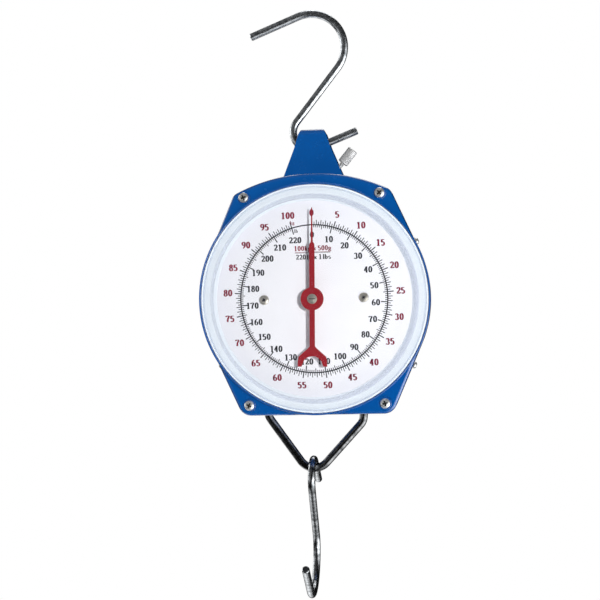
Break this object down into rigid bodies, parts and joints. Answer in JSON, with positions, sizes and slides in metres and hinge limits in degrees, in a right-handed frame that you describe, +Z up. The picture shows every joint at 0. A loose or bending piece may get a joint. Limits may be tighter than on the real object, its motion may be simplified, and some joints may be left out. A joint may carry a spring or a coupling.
{
  "type": "hanging spring scale",
  "caption": "Dial spring scale that hangs by a bent wire hook and weighs what hangs on its lower hook, with a blue enamelled case and a raised clear lens.",
  "frame": {"origin": "the point the scale hangs by, at the inner top of the top hook's large bend, on the wire's surface", "axes": "+Z up, the dial faces -Y, +X to the right of someone reading it"},
  "size_m": [0.2032, 0.0998, 0.5262],
  "materials": {
    "zinc_steel": "bright zinc plating, drawn wire grain",
    "dark_steel": "plain oiled steel",
    "spring_steel": "oil tempered spring wire",
    "nickel": "nickel plated",
    "brass": "turned brass",
    "aluminium": "straight knurled",
    "blue_enamel": "glossy baked enamel",
    "white_enamel": "satin white with printed graduations",
    "red_enamel": "satin enamel",
    "white_gasket": "smooth white",
    "clear_lens": "clear moulded, polished"
  },
  "bodies": {
    "top_hook": {"top_hook": "zinc_steel"},
    "case": {"front_shell": "blue_enamel", "rear_shell": "blue_enamel", "lens": "clear_lens", "lens_seat_ring": "white_gasket", "dial_plate": "white_enamel", "corner_screw_upper_left": "zinc_steel", "corner_screw_upper_right": "zinc_steel", "corner_screw_lower_left": "zinc_steel", "corner_screw_lower_right": "zinc_steel", "side_screw_upper_left": "dark_steel", "side_screw_upper_right": "dark_steel", "side_screw_lower_left": "dark_steel", "side_screw_lower_right": "dark_steel", "dial_screw_left": "nickel", "dial_screw_right": "nickel", "hanger_strap": "blue_enamel", "hanger_pin": "dark_steel", "chassis_frame": "dark_steel", "case_post_upper_left": "zinc_steel", "case_post_upper_right": "zinc_steel", "case_post_lower_left": "zinc_steel", "case_post_lower_right": "zinc_steel", "strap_screw_left": "zinc_steel", "strap_screw_right": "zinc_steel", "movement_plate": "zinc_steel", "bridge": "brass", "front_bush": "brass", "rear_bush": "brass", "dial_pillar_left": "zinc_steel", "dial_pillar_right": "zinc_steel", "beam_pin": "dark_steel", "zero_bush": "brass", "spring_left": "spring_steel", "spring_right": "spring_steel"},
    "spring_beam": {"spring_beam": "zinc_steel", "zero_barrel": "brass", "upper_plug_left": "zinc_steel", "upper_plug_right": "zinc_steel"},
    "zero_adjuster": {"zero_knob": "aluminium", "zero_screw": "zinc_steel"},
    "carriage": {"carriage": "zinc_steel", "rack": "brass", "lower_plug_left": "zinc_steel", "lower_plug_right": "zinc_steel"},
    "pointer": {"pinion": "brass", "pointer_shaft": "dark_steel", "pointer_hub": "brass", "pointer": "red_enamel", "hub_screw": "nickel"},
    "yoke": {"yoke_bar": "zinc_steel", "yoke_pin": "dark_steel", "bail_nut_left": "zinc_steel", "bail_nut_right": "zinc_steel", "bail": "zinc_steel"},
    "lower_hook": {"lower_hook": "zinc_steel"}
  },
  "joints": [
    {"name": "case_swing", "type": "hinge", "parent": "top_hook", "child": "case", "pos_m": [0, 0, -0.1089], "axis": [0, 1, 0], "range_deg": [-14, 20]},
    {"name": "load_slide", "type": "slide", "parent": "case", "child": "carriage", "axis": [0, 0, -1], "range_m": [0, 0.0288], "stiffness_N_per_m": 34063, "deforming": ["spring_left", "spring_right"]},
    {"name": "pointer_turn", "type": "hinge", "parent": "case", "child": "pointer", "pos_m": [0, -0.03, -0.2513], "axis": [0, 1, 0], "range_deg": [0, 344]},
    {"name": "yoke_sway", "type": "hinge", "parent": "carriage", "child": "yoke", "pos_m": [0, 0, -0.2923], "axis": [0, 1, 0], "range_deg": [-8, 0]},
    {"name": "lower_hook_swing", "type": "hinge", "parent": "yoke", "child": "lower_hook", "pos_m": [-0.00775, 0, -0.40309], "axis": [0.9995, 0, -0.0332], "range_deg": [-35, 35]},
    {"name": "zero_knob_turn", "type": "hinge", "parent": "case", "child": "zero_adjuster", "pos_m": [0.0258, 0, -0.1313], "axis": [0.6494, 0, 0.7604], "range_deg": [-59, 59]},
    {"name": "beam_tilt", "type": "hinge", "parent": "case", "child": "spring_beam", "pos_m": [-0.023, 0, -0.1683], "axis": [0, 1, 0], "range_deg": [-0.5, 0.5]}
  ],
  "couplings": [
    {"joint": "pointer_turn", "follows": "load_slide", "rad_per_m": 208.33},
    {"joint": "zero_knob_turn", "follows": "beam_tilt", "ratio": 117.4}
  ]
}
